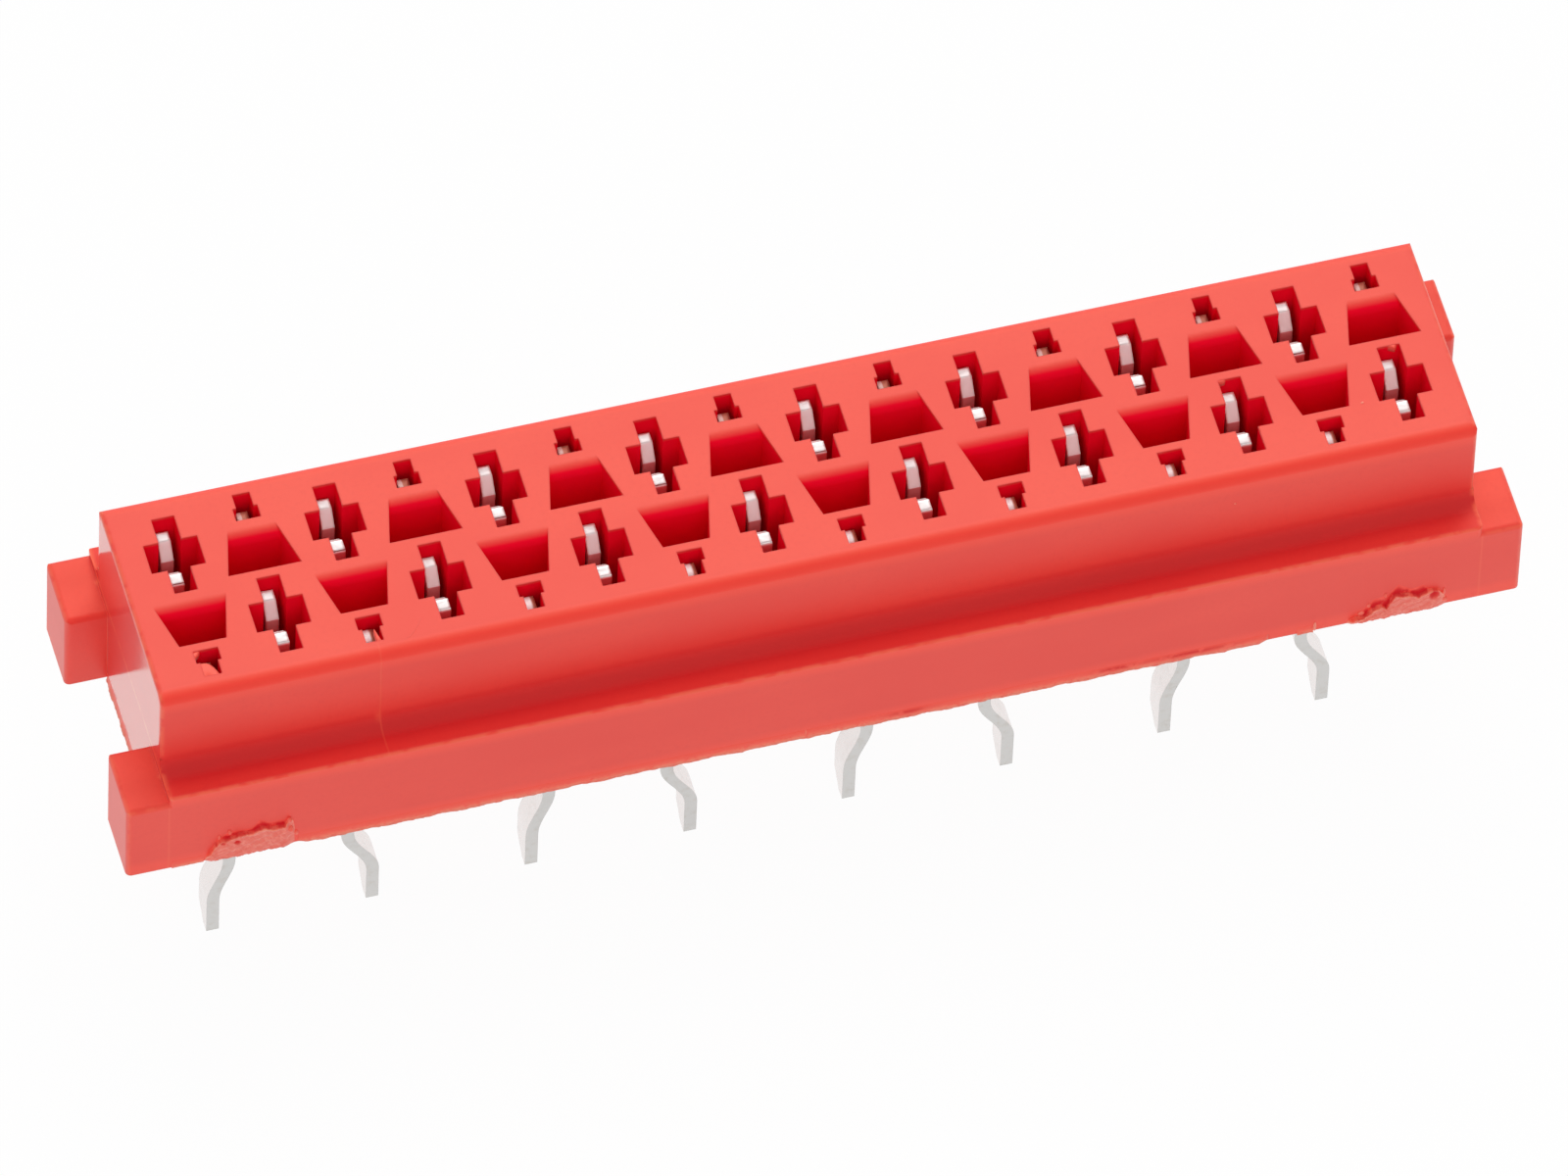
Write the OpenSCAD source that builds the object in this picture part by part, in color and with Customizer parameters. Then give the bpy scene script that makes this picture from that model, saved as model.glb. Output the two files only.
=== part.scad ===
// Two-row socket header for a circuit board, in millimetres.
// One moulded housing carries stamped contacts in two staggered rows. Each contact has a fork under a
// cross-shaped opening and a kinked solder tail on the other side of the centre line.
// The origin is the middle of the face that sits on the board, +X along the rows and +Z upwards.

/* [Layout] */
// Number of contacts, shared between the two rows
ways = 16; // [4:2:26]
// Step from one contact to the next along the length
pitch = 1.27; // [1.2:0.01:1.6]
// Distance between the two rows of cross openings
fork_rows = 1.47; // [1.4:0.01:1.7]
// Distance between the two rows of solder tails
tail_rows = 2.54; // [2.4:0.01:3]

/* [Housing] */
// Height of the housing above the board
body_h = 3.55; // [3.2:0.05:5]
// Plastic beyond the first and the last contact
end_margin = 0.9; // [0.8:0.01:1.4]
// Wall between the keyholes and the long sides
side_wall = 0.285; // [0.2:0.005:0.6]
// Round along the upper long edges
top_round = 0.18; // [0.05:0.01:0.25]
// Round on the edges of the end walls
corner_round = 0.07; // [0.03:0.01:0.2]

/* [Flange] */
// How far the flange stands out past the upper block
flange_out = 0.575; // [0.3:0.005:1]
// Height of the flange above the board
flange_h = 1.77; // [1.65:0.01:2.2]
// Hollow round between the upper block and the flange
root_round = 0.25; // [0.1:0.01:0.5]
// Round along the outer edge of the flange
flange_round = 0.05; // [0.02:0.01:0.1]
// How far the end rails stand past the end walls
rail_l = 0.665; // [0.4:0.005:1.2]
// Width of an end rail
rail_w = 1.195; // [0.8:0.005:1.4]
// Height of an end rail
rail_h = 1.62; // [1.2:0.01:1.7]
// Round on the edges of the end rails
rail_round = 0.09; // [0.03:0.01:0.15]

/* [Openings] */
// Width of the cross arms, along the row
arm_w = 0.85; // [0.7:0.01:0.95]
// Length of the cross arms, across the row
arm_l = 0.54; // [0.4:0.01:0.8]
// Width of a keying pocket on its wide side
pocket_wide = 1.15; // [0.9:0.01:1.25]
// Width of a keying pocket on its narrow side
pocket_narrow = 0.74; // [0.6:0.01:0.9]
// Distance from the centre line to the wide side of a pocket
pocket_near = 0.135; // [0.1:0.005:0.3]
// Distance from the centre line to the narrow side of a pocket
pocket_far = 0.975; // [0.85:0.005:1.05]
// Round that leads into a pocket over its rear wall
pocket_lead = 0.2; // [0.05:0.01:0.3]
// Plastic between a pocket and the contact below it
pocket_floor = 0.3; // [0.15:0.01:0.6]
// Width of a keyhole at its wide end
keyhole_w = 0.39; // [0.32:0.01:0.5]
// Length of the wide end of a keyhole
keyhole_l = 0.23; // [0.15:0.01:0.3]
// How far a keyhole reaches inwards of its tail row
keyhole_in = 0.155; // [0.1:0.005:0.2]

/* [Underside] */
// Depth of the relief that keeps the middle of the underside off the board
relief_depth = 0.25; // [0.1:0.01:0.4]
// Room between the tails and the edge of the relief
relief_room = 0.08; // [0.04:0.01:0.2]

/* [Sheet metal] */
// Thickness of the contact strip
sheet_t = 0.2; // [0.15:0.01:0.26]
// Sideways seat of the contacts in their slots
sheet_shift = -0.03; // [-0.06:0.005:0.06]
// Room beside the strip in the cross openings
slot_room = 0.05; // [0.02:0.005:0.1]
// Room beside the strip in the keyholes
keyhole_room = 0.0075; // [0.005:0.0025:0.05]
// Round that the press leaves along one upper edge of the strip
press_round = 0.07; // [0.02:0.01:0.12]

/* [Fork] */
// Depth of the fork tips below the top face
fork_drop = 0.3; // [0.2:0.01:0.6]
// Gap between the fork arms where they grip a plug blade
fork_gap = 0.22; // [0.12:0.01:0.3]
// Width of one fork arm
fork_arm = 0.42; // [0.3:0.01:0.5]
// Shift of the forks to the rear within their openings
fork_shift = 0.17; // [0:0.01:0.2]
// Width of the sloping lead-in on an arm's tip
lead_w = 0.21; // [0.08:0.01:0.24]
// Height of the sloping lead-in on an arm's tip
lead_h = 0.24; // [0.1:0.01:0.5]
// Round on the outer corner of an arm's tip
tip_round = 0.05; // [0.02:0.01:0.06]
// Diameter of the round hole at the foot of the fork gap
fork_root = 0.32; // [0.24:0.01:0.4]
// Room between the fork and the ends of its opening
fork_room = 0.02; // [0.01:0.01:0.1]

/* [Base and tail] */
// Height of the beam that joins fork, post and tail
beam_h = 0.8; // [0.5:0.01:1]
// Gap between the beam and the relief below it
beam_lift = 0.3; // [0.1:0.01:0.5]
// Width of the holding post
post_w = 0.37; // [0.3:0.01:0.45]
// Depth of the post's tip below the top face
post_drop = 0.22; // [0.1:0.01:0.5]
// Round on the corners of the post's tip
post_round = 0.17; // [0.02:0.01:0.2]
// Height of the barbs that hold the post
barb_h = 0.09; // [0.04:0.01:0.12]
// Room between the post or its barbs and the keyhole
post_room = 0.015; // [0.005:0.005:0.04]
// Width of a solder tail
tail_w = 0.46; // [0.36:0.01:0.5]
// Length of a solder tail below the board face
tail_l = 3.25; // [2.6:0.05:4]
// How far the kink swings a tail to one side
kink = 0.33; // [0.1:0.01:0.4]
// Depth of the kink's peak below the board face
kink_depth = 1.5; // [1:0.05:1.8]
// Length over which the tail comes back from the kink
kink_return = 1; // [0.6:0.05:1.2]
// Sideways place of the tail tips
tip_shift = 0.08; // [-0.1:0.01:0.1]
// Cut across the inner corner of a tail tip
tip_cut = 0.28; // [0.1:0.01:0.35]

/* [Hidden] */
$fn = 48;
// Overlap that lets a cut pass cleanly through a face
pass = 0.05;
// Steps along the curved part of a tail
kink_steps = 12;
// Depth to which the end rails are rooted in the flange
rail_root = 0.3;

span = (ways - 1) * pitch;
body_l = span + 2 * end_margin;

beam_z = relief_depth + beam_lift;
beam_top = beam_z + beam_h;
pocket_z = beam_top + pocket_floor;
fork_top = body_h - fork_drop;
post_top = body_h - post_drop;

strip_top = max(fork_top, post_top);

fork_half = fork_gap / 2 + fork_arm;
bar_half = fork_half + abs(fork_shift) + fork_room;
bar_w = 2 * (sheet_t / 2 + abs(sheet_shift) + slot_room);
stem_w = 2 * (sheet_t / 2 + abs(sheet_shift) + keyhole_room);

keyhole_start = tail_rows / 2 - keyhole_in;
stem_start = keyhole_start + keyhole_l;
post_in = keyhole_start + post_room;
post_out = post_in + post_w;
tail_in = (tail_rows - tail_w) / 2;
tail_out = tail_in + tail_w;
keyhole_end = max(post_out + barb_h, tail_out) + post_room;

body_w = 2 * (keyhole_end + side_wall);
flange_w = body_w + 2 * flange_out;
relief_w = tail_rows + tail_w + 2 * relief_room;
relief_l = span + 2 * (kink + sheet_t / 2 + relief_room);

function contact_name(n) = str("contact_", n < 10 ? "0" : "", n);
function contact_x(n) = (n - 1) * pitch - span / 2;
// Odd contacts have their fork in the rear row (1), even ones in the front row (-1)
function fork_side(n) = n % 2 == 1 ? 1 : -1;
// Neighbours in a tail row kink to opposite sides, and the rear row is the front one turned about Z
function kink_side(n) = n % 4 == 1 || n % 4 == 2 ? 1 : -1;
function ease(from, to, share) = from + (to - from) * (1 - cos(180 * share)) / 2;

// Turns a drawing in the YZ plane into a plate across X
module across_x(length) {
    rotate([90, 0, 90]) linear_extrude(length, center = true) children();
}

// Turns a drawing in the XZ plane into a plate across Y
module across_y(length) {
    rotate([90, 0, 0]) linear_extrude(length, center = true) children();
}

// Upright rectangle on the ground line whose two upper corners are round
module arched(w, h, r) {
    translate([-w / 2, 0]) square([w, h - r]);
    translate([r - w / 2, 0]) square([w - 2 * r, h]);
    for (side = [-1, 1]) translate([side * (w / 2 - r), h - r]) circle(r);
}

// Rectangle about the origin whose four corners are round
module rounded(l, w, r) {
    square([l - 2 * r, w], center = true);
    square([l, w - 2 * r], center = true);
    for (i = [-1, 1], j = [-1, 1]) translate([i * (l / 2 - r), j * (w / 2 - r)]) circle(r);
}

// Box from y0 to y1 and z0 to z1, centred on X
module slab(w, y0, y1, z0, z1) {
    translate([-w / 2, y0, z0]) cube([w, y1 - y0, z1 - z0]);
}

// Upper block with round long edges and lightly broken end edges
module upper_block() {
    intersection() {
        across_x(body_l) arched(body_w, body_h, top_round);
        across_y(body_w) arched(body_l, body_h, corner_round);
        linear_extrude(body_h) rounded(body_l, body_w, corner_round);
    }
}

// Section of the flange with the hollow rounds that run up to the upper block
module flange_section() {
    hollow = min(root_round, flange_out);
    arched(flange_w, flange_h, flange_round);
    for (side = [0, 1]) mirror([side, 0]) difference() {
        translate([0, flange_h - pass]) square([body_w / 2 + hollow, hollow + pass]);
        translate([body_w / 2 + hollow, flange_h + hollow]) circle(hollow);
    }
}

module flange() {
    intersection() {
        across_x(body_l) flange_section();
        linear_extrude(body_h) rounded(body_l, flange_w, corner_round);
    }
}

// One of the four rails that stand past the ends of the flange
module end_rail() {
    length = rail_l + rail_root;
    translate([body_l / 2 + rail_l - length / 2, (flange_w - rail_w) / 2, 0]) intersection() {
        linear_extrude(rail_h) rounded(length, rail_w, rail_round);
        across_x(length) arched(rail_w, rail_h, rail_round);
        across_y(rail_w) arched(length, rail_h, rail_round);
    }
}

// Cross opening, keyhole and loading slot for a contact whose fork is in the rear row
module contact_space() {
    fork_y = fork_rows / 2;
    translate([0, fork_y - bar_half, 0]) slab(bar_w, 0, 2 * bar_half, relief_depth, body_h + pass);
    slab(arm_w, fork_y - arm_l / 2, fork_y + arm_l / 2, pocket_z, body_h + pass);
    slab(keyhole_w, -stem_start, -keyhole_start, relief_depth, body_h + pass);
    slab(stem_w, -keyhole_end, -stem_start, relief_depth, body_h + pass);
    slab(bar_w, -keyhole_end, fork_y, relief_depth - pass, beam_top);
}

// Blind pocket that keys the plug: its plan tapers outwards and its rear wall has a round lead-in
module pocket(side) {
    front = side > 0 ? pocket_near : -pocket_far;
    rear = side > 0 ? pocket_far : -pocket_near;
    front_w = side > 0 ? pocket_wide : pocket_narrow;
    rear_w = side > 0 ? pocket_narrow : pocket_wide;
    intersection() {
        linear_extrude(body_h + pass) polygon([
            [-front_w / 2, front], [front_w / 2, front], [rear_w / 2, rear], [-rear_w / 2, rear]
        ]);
        across_x(pocket_wide) union() {
            translate([front, pocket_z]) square([rear - pocket_lead - front, body_h + pass - pocket_z]);
            difference() {
                translate([rear - pocket_lead - pass, body_h - pocket_lead])
                    square([pocket_lead + pass, pocket_lead + pass]);
                translate([rear, body_h - pocket_lead]) circle(pocket_lead);
            }
        }
    }
}

module housing() {
    color("orangered") difference() {
        union() {
            upper_block();
            flange();
            for (i = [0, 1], j = [0, 1]) mirror([i, 0, 0]) mirror([0, j, 0]) end_rail();
        }
        translate([-relief_l / 2, -relief_w / 2, -pass]) cube([relief_l, relief_w, relief_depth + pass]);
        for (n = [1:ways]) translate([contact_x(n), 0, 0]) {
            mirror([0, fork_side(n) > 0 ? 0 : 1, 0]) contact_space();
            pocket(-fork_side(n));
        }
    }
}

// Fork seen from the end of the header: two arms with sloping lead-ins about a gap with a round foot
module fork_outline() {
    root_z = beam_top + fork_root / 2;
    mouth = fork_gap / 2 + lead_w;
    difference() {
        translate([0, beam_z]) arched(2 * fork_half, fork_top - beam_z, tip_round);
        translate([0, root_z]) circle(d = fork_root);
        polygon([
            [-fork_gap / 2, root_z], [fork_gap / 2, root_z], [fork_gap / 2, fork_top - lead_h],
            [mouth, fork_top], [mouth, fork_top + pass], [-mouth, fork_top + pass], [-mouth, fork_top],
            [-fork_gap / 2, fork_top - lead_h]
        ]);
    }
}

// Post in the keyhole, with an arched tip and two barbs that bear on the outer wall
module post_outline() {
    barb_l = 3 * barb_h;
    tip = min(post_round, 0.48 * post_w);
    translate([post_in + post_w / 2, beam_z]) arched(post_w, post_top - beam_z, tip);
    for (rise = [1, 2]) translate([post_out, beam_top + rise * (post_top - beam_top) / 3])
        polygon([[0, -barb_l / 2], [barb_h, -barb_l / 2], [0, barb_l / 2]]);
}

// Tail with its inner corner cut away at the tip
module tail_outline() {
    polygon([
        [tail_in, -tail_l + tip_cut], [tail_in + tip_cut, -tail_l], [tail_out, -tail_l],
        [tail_out, beam_top], [tail_in, beam_top]
    ]);
}

// Whole stamping in the YZ plane before its tail is kinked
module contact_outline(side) {
    fork_y = side * fork_rows / 2 + fork_shift;
    tail_y = -side * post_out;
    beam_y0 = min(fork_y - fork_half, tail_y);
    beam_y1 = max(fork_y + fork_half, tail_y);
    translate([beam_y0, beam_z]) square([beam_y1 - beam_y0, beam_h]);
    translate([fork_y, 0]) fork_outline();
    mirror([side > 0 ? 1 : 0, 0]) {
        post_outline();
        tail_outline();
    }
}

// Centre line of the strip in the XZ plane: straight above the board, then out to the kink and back
function strip_line(swing) = concat(
    [[sheet_shift, strip_top]],
    [for (i = [0:kink_steps]) [ease(sheet_shift, swing, i / kink_steps), -kink_depth * i / kink_steps]],
    [for (i = [1:kink_steps])
        [ease(swing, tip_shift, i / kink_steps), -kink_depth - kink_return * i / kink_steps]],
    [[tip_shift, -tail_l - pass]]
);

// Strip of constant thickness about a centre line that runs downwards, with one round corner at its upper end
module bent_strip(line) {
    last = len(line) - 1;
    difference() {
        polygon(concat(
            [for (i = [0:last]) line[i] + [sheet_t / 2, 0]],
            [for (i = [last:-1:0]) line[i] - [sheet_t / 2, 0]]
        ));
        translate(line[0] + [sheet_t / 2 - press_round, -press_round]) difference() {
            square(press_round + pass);
            circle(press_round);
        }
    }
}

module contact(n) {
    reach = 2 * (kink + sheet_t + abs(sheet_shift) + abs(tip_shift));
    color("silver") translate([contact_x(n), 0, 0]) intersection() {
        across_y(2 * body_w) bent_strip(strip_line(kink_side(n) * kink));
        across_x(reach) contact_outline(fork_side(n));
    }
}

housing();
for (n = [1:ways]) contact(n);
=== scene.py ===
"""Looks of a staggered socket header: red moulded housing, tin-plated contacts and the marks of moulding.

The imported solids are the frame. This script dresses them, adds the broken gates, flash, burrs and grains
that moulding and handling left on the housing, and sets up a plain white studio. Lengths are in millimetres,
but those of the floor and the lamps are in metres.
"""

import logging
import math
from dataclasses import dataclass
from enum import Enum
from functools import reduce
from operator import add, mul
from typing import Any, Union

import bpy
import numpy as np
from mathutils import Matrix, Vector


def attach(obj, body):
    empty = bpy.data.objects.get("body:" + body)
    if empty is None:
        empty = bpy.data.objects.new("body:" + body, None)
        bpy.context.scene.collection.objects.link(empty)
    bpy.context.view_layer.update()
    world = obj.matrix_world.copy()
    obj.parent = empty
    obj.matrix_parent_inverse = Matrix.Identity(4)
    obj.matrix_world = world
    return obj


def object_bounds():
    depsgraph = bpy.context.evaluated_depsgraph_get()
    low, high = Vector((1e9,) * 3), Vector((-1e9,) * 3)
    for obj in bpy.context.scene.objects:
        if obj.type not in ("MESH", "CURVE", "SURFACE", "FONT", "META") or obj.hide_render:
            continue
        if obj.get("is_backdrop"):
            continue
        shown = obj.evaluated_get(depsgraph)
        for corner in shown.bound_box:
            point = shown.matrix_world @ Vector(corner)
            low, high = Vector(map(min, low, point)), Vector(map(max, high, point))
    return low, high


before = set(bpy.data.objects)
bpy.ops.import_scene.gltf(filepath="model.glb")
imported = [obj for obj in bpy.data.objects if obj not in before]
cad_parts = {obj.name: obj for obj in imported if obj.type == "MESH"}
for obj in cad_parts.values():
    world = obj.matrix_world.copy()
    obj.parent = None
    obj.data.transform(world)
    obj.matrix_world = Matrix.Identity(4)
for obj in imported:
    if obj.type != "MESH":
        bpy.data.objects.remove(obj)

LOG = logging.getLogger("socket_header")
MM = 0.001
BODY = "root"

Colour = tuple[float, float, float]
Triple = tuple[float, float, float]
Pair = tuple[float, float]
Value = Union["Wire", float]
Marks = dict[str, Union[np.ndarray, float]]

WHITE: Colour = (1.0, 1.0, 1.0)
TO_FRONT: Pair = (0.0, -1.0)
TO_LEFT: Pair = (-1.0, 0.0)
NOISE_MIDDLE = 0.5


class Slot(Enum):
    """Material slots of the record."""

    HOUSING = "housing_plastic"
    CONTACT = "contact_tin"


@dataclass(frozen=True)
class HeaderSize:
    """Sizes of the header by which finishes and marks are placed."""

    pitch: float = 1.27
    ways: int = 16
    top: float = 3.55
    half_length: float = 10.425
    wall: float = 1.89
    flange: float = 2.465
    ledge: float = 1.77
    rail_end: float = 11.09
    rail_top: float = 1.62
    rail_inner: float = 1.27
    post: float = 1.13

    def middle(self) -> float:
        """Number that a contact in the middle of the rows would have."""
        return (self.ways + 1) / 2

    def contact_x(self, number: int) -> float:
        """Place of a contact along the rows."""
        return (number - self.middle()) * self.pitch


HEADER = HeaderSize()


@dataclass(frozen=True)
class Pattern:
    """Noise pattern: cells per millimetre, octaves of finer noise and a factor on each axis.

    A factor below 1 draws the pattern out along its axis.
    """

    scale: float
    detail: float = 2.0
    stretch: Triple = (1.0, 1.0, 1.0)


class Wire:
    """A node's output socket. Arithmetic on it adds Math nodes to the same tree."""

    def __init__(self, shader: "Shader", socket: bpy.types.NodeSocket) -> None:
        """Keeps the socket and the tree that it belongs to."""
        self.shader = shader
        self.socket = socket

    def math(self, operation: str, *values: Value) -> "Wire":
        """Adds one Math node.

        Args:
            operation: name of the Math node's operation.
            values: its inputs in order.

        Returns:
            The node's result.
        """
        return self.shader.node("ShaderNodeMath", {"operation": operation}, dict(enumerate(values)))

    def __add__(self, other: Value) -> "Wire":
        """Sum."""
        return self.math("ADD", self, other)

    def __radd__(self, other: Value) -> "Wire":
        """Sum with the wire on the right."""
        return self.math("ADD", other, self)

    def __sub__(self, other: Value) -> "Wire":
        """Difference."""
        return self.math("SUBTRACT", self, other)

    def __rsub__(self, other: Value) -> "Wire":
        """Difference with the wire on the right."""
        return self.math("SUBTRACT", other, self)

    def __mul__(self, other: Value) -> "Wire":
        """Product."""
        return self.math("MULTIPLY", self, other)

    def __rmul__(self, other: Value) -> "Wire":
        """Product with the wire on the right."""
        return self.math("MULTIPLY", other, self)

    def __truediv__(self, other: Value) -> "Wire":
        """Quotient."""
        return self.math("DIVIDE", self, other)

    def __abs__(self) -> "Wire":
        """Distance from zero."""
        return self.math("ABSOLUTE", self)

    def larger(self, other: "Wire") -> "Wire":
        """The larger of two values."""
        return self.math("MAXIMUM", self, other)

    def fraction(self) -> "Wire":
        """What is left over a whole number."""
        return self.math("FRACT", self)

    def step(self, low: float, high: float) -> "Wire":
        """Eased step from 0 at low to 1 at high.

        Args:
            low: value at which the step starts.
            high: value at which it ends; below low, the step falls.

        Returns:
            The step, between 0 and 1.
        """
        return self.shader.node(
            "ShaderNodeMapRange",
            {"interpolation_type": "SMOOTHSTEP"},
            {"Value": self, "From Min": low, "From Max": high},
        )

    def near(self, centre: float, width: float) -> "Wire":
        """Eased band that is 1 at centre and 0 beyond half a width from it."""
        return abs(self - centre).step(width / 2, 0.0)


class Shader:
    """Builds the nodes of one material or world."""

    bevel_samples: int = 8
    edge_turn: Pair = (0.999, 0.8)

    def __init__(self, tree: bpy.types.NodeTree) -> None:
        """Starts from an empty tree."""
        self.tree = tree
        tree.nodes.clear()

    def node(
        self,
        kind: str,
        settings: dict[str, Any] | None = None,
        inputs: dict[str | int, Any] | None = None,
        output: str | int = 0,
    ) -> Wire | None:
        """Adds any node.

        Args:
            kind: type of the node.
            settings: properties of the node, set before its sockets.
            inputs: values or wires by the name or number of the socket.
            output: name or number of the socket to return.

        Returns:
            The chosen output, or None for a node that has no outputs.
        """
        made = self.tree.nodes.new(kind)
        for key, value in (settings or {}).items():
            setattr(made, key, value)
        for key, value in (inputs or {}).items():
            if isinstance(value, Wire):
                self.tree.links.new(value.socket, made.inputs[key])
            else:
                made.inputs[key].default_value = value
        return Wire(self, made.outputs[output]) if made.outputs else None

    def vector(self, operation: str, first: Any, second: Any, output: str | int = 0) -> Wire:
        """Vector Math node on two vectors."""
        return self.node("ShaderNodeVectorMath", {"operation": operation}, {0: first, 1: second}, output)

    def blend(self, factor: Value, first: Any, second: Any) -> Wire:
        """Mixes two colours.

        Args:
            factor: 0 for the first colour, 1 for the second.
            first: colour or wire.
            second: colour or wire.

        Returns:
            The mixed colour.
        """
        inputs = {0: factor, 6: rgba(first), 7: rgba(second)}
        return self.node("ShaderNodeMix", {"data_type": "RGBA"}, inputs, 2)

    def millimetres(self) -> Wire:
        """Object coordinates in millimetres."""
        place = self.node("ShaderNodeTexCoord", output="Object")
        return self.vector("MULTIPLY", place, (1 / MM, 1 / MM, 1 / MM))

    def axes(self, place: Wire) -> tuple[Wire, Wire, Wire]:
        """The three parts of a vector."""
        made = self.node("ShaderNodeSeparateXYZ", inputs={0: place}).socket.node
        return tuple(Wire(self, made.outputs[i]) for i in range(3))

    def noise(self, place: Wire, pattern: Pattern) -> Wire:
        """Noise about its middle value.

        Args:
            place: coordinates in millimetres.
            pattern: scale, detail and stretch of the noise.

        Returns:
            The noise value.
        """
        drawn = self.vector("MULTIPLY", place, pattern.stretch)
        inputs = {"Vector": drawn, "Scale": pattern.scale, "Detail": pattern.detail}
        return self.node("ShaderNodeTexNoise", inputs=inputs)

    def bump(self, height: Wire, distance: float, strength: float, normal: Wire) -> Wire:
        """Bump of a height from 0 to 1.

        Args:
            height: the height.
            distance: height of a full step, in millimetres.
            strength: share of the bump that shows.
            normal: normal that the bump starts from.

        Returns:
            The bumped normal.
        """
        inputs = {"Height": height, "Distance": distance * MM, "Strength": strength, "Normal": normal}
        return self.node("ShaderNodeBump", inputs=inputs)

    def soft_edges(self, radius: Wire) -> tuple[Wire, Wire]:
        """Rounds the look of sharp edges.

        Args:
            radius: radius of the round, in millimetres.

        Returns:
            The rounded normal, and a mask that is 1 on the edges.
        """
        rounded = self.node("ShaderNodeBevel", {"samples": self.bevel_samples}, {"Radius": radius * MM})
        flat = self.node("ShaderNodeNewGeometry", output="Normal")
        facing = self.vector("DOT_PRODUCT", rounded, flat, "Value")
        return rounded, facing.step(*self.edge_turn)

    def mark(self, name: str) -> Wire:
        """Value that a mesh keeps for each of its points."""
        return self.node("ShaderNodeAttribute", {"attribute_name": name}, output="Fac")

    def seen(self) -> Wire:
        """1 for what the camera sees, straight or in a mirror or glass, and 0 for light that is gathered."""
        path = self.node("ShaderNodeLightPath").socket.node
        kinds = ("Is Camera Ray", "Is Glossy Ray", "Is Transmission Ray")
        straight, mirrored, through = (Wire(self, path.outputs[kind]) for kind in kinds)
        return straight.larger(mirrored.larger(through))


def rgba(colour: Any) -> Any:
    """Adds full alpha to a plain colour and leaves a wire as it is."""
    return colour if isinstance(colour, Wire) else (*colour, 1.0)


def new_material(name: str) -> tuple[bpy.types.Material, Shader]:
    """Makes an empty node material.

    Args:
        name: name of the material.

    Returns:
        The material and the shader that fills it.
    """
    material = bpy.data.materials.new(name)
    material.use_nodes = True
    return material, Shader(material.node_tree)


def close_material(
    shader: Shader,
    constants: dict[str, Any],
    varying: dict[str, Wire],
    matt: Wire | None = None,
) -> None:
    """Ends a material in one Principled shader, which gives way to plain matt colour where it has no gloss.

    Args:
        shader: shader of the material.
        constants: inputs that are the same all over.
        varying: inputs that change over the surface.
        matt: share of matt colour, where there is any.
    """
    surface = shader.node("ShaderNodeBsdfPrincipled", inputs={**constants, **varying})
    if matt is not None:
        plain = shader.node("ShaderNodeBsdfDiffuse", inputs={"Color": varying["Base Color"]})
        surface = shader.node("ShaderNodeMixShader", inputs={0: matt, 1: surface, 2: plain})
    shader.node("ShaderNodeOutputMaterial", inputs={"Surface": surface})


class Axis(Enum):
    """Ways to measure where a point of the housing is. The far ones are distances from the middle."""

    ALONG = "along"
    ACROSS = "across"
    HEIGHT = "height"
    FAR_ALONG = "far along"
    FAR_ACROSS = "far across"


@dataclass(frozen=True)
class Rise:
    """Mask along an axis: 0 at start and 1 at full, both counted from an edge."""

    axis: Axis
    edge: float
    start: float
    full: float

    def mask(self, place: Wire) -> Wire:
        """Eased step over the places on the axis."""
        return place.step(self.edge + self.start, self.edge + self.full)


@dataclass(frozen=True)
class Band:
    """Mask along an axis: 1 at the centre and 0 beyond half a width from it."""

    axis: Axis
    centre: float
    width: float

    def mask(self, place: Wire) -> Wire:
        """Eased band over the places on the axis."""
        return place.near(self.centre, self.width)


Zone = tuple[Union[Rise, Band], ...]
SEAM_PLACE = -6.96
FRONT = Rise(Axis.ACROSS, -HEADER.wall, 0.39, 0.09)
END_FACE = Band(Axis.FAR_ALONG, HEADER.half_length, 0.02)


class Spot:
    """A point of the surface, measured along every axis."""

    def __init__(self, shader: Shader, place: Wire) -> None:
        """Splits the place of the point into its parts."""
        along, across, height = shader.axes(place)
        self.places = {
            Axis.ALONG: along,
            Axis.ACROSS: across,
            Axis.HEIGHT: height,
            Axis.FAR_ALONG: abs(along),
            Axis.FAR_ACROSS: abs(across),
        }

    def mask(self, *zones: Zone) -> Wire:
        """Mask that is 1 in the zones: the sum over them of the product of each one's limits."""
        masks = ([limit.mask(self.places[limit.axis]) for limit in zone] for zone in zones)
        return reduce(add, (reduce(mul, limits) for limits in masks))


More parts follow.
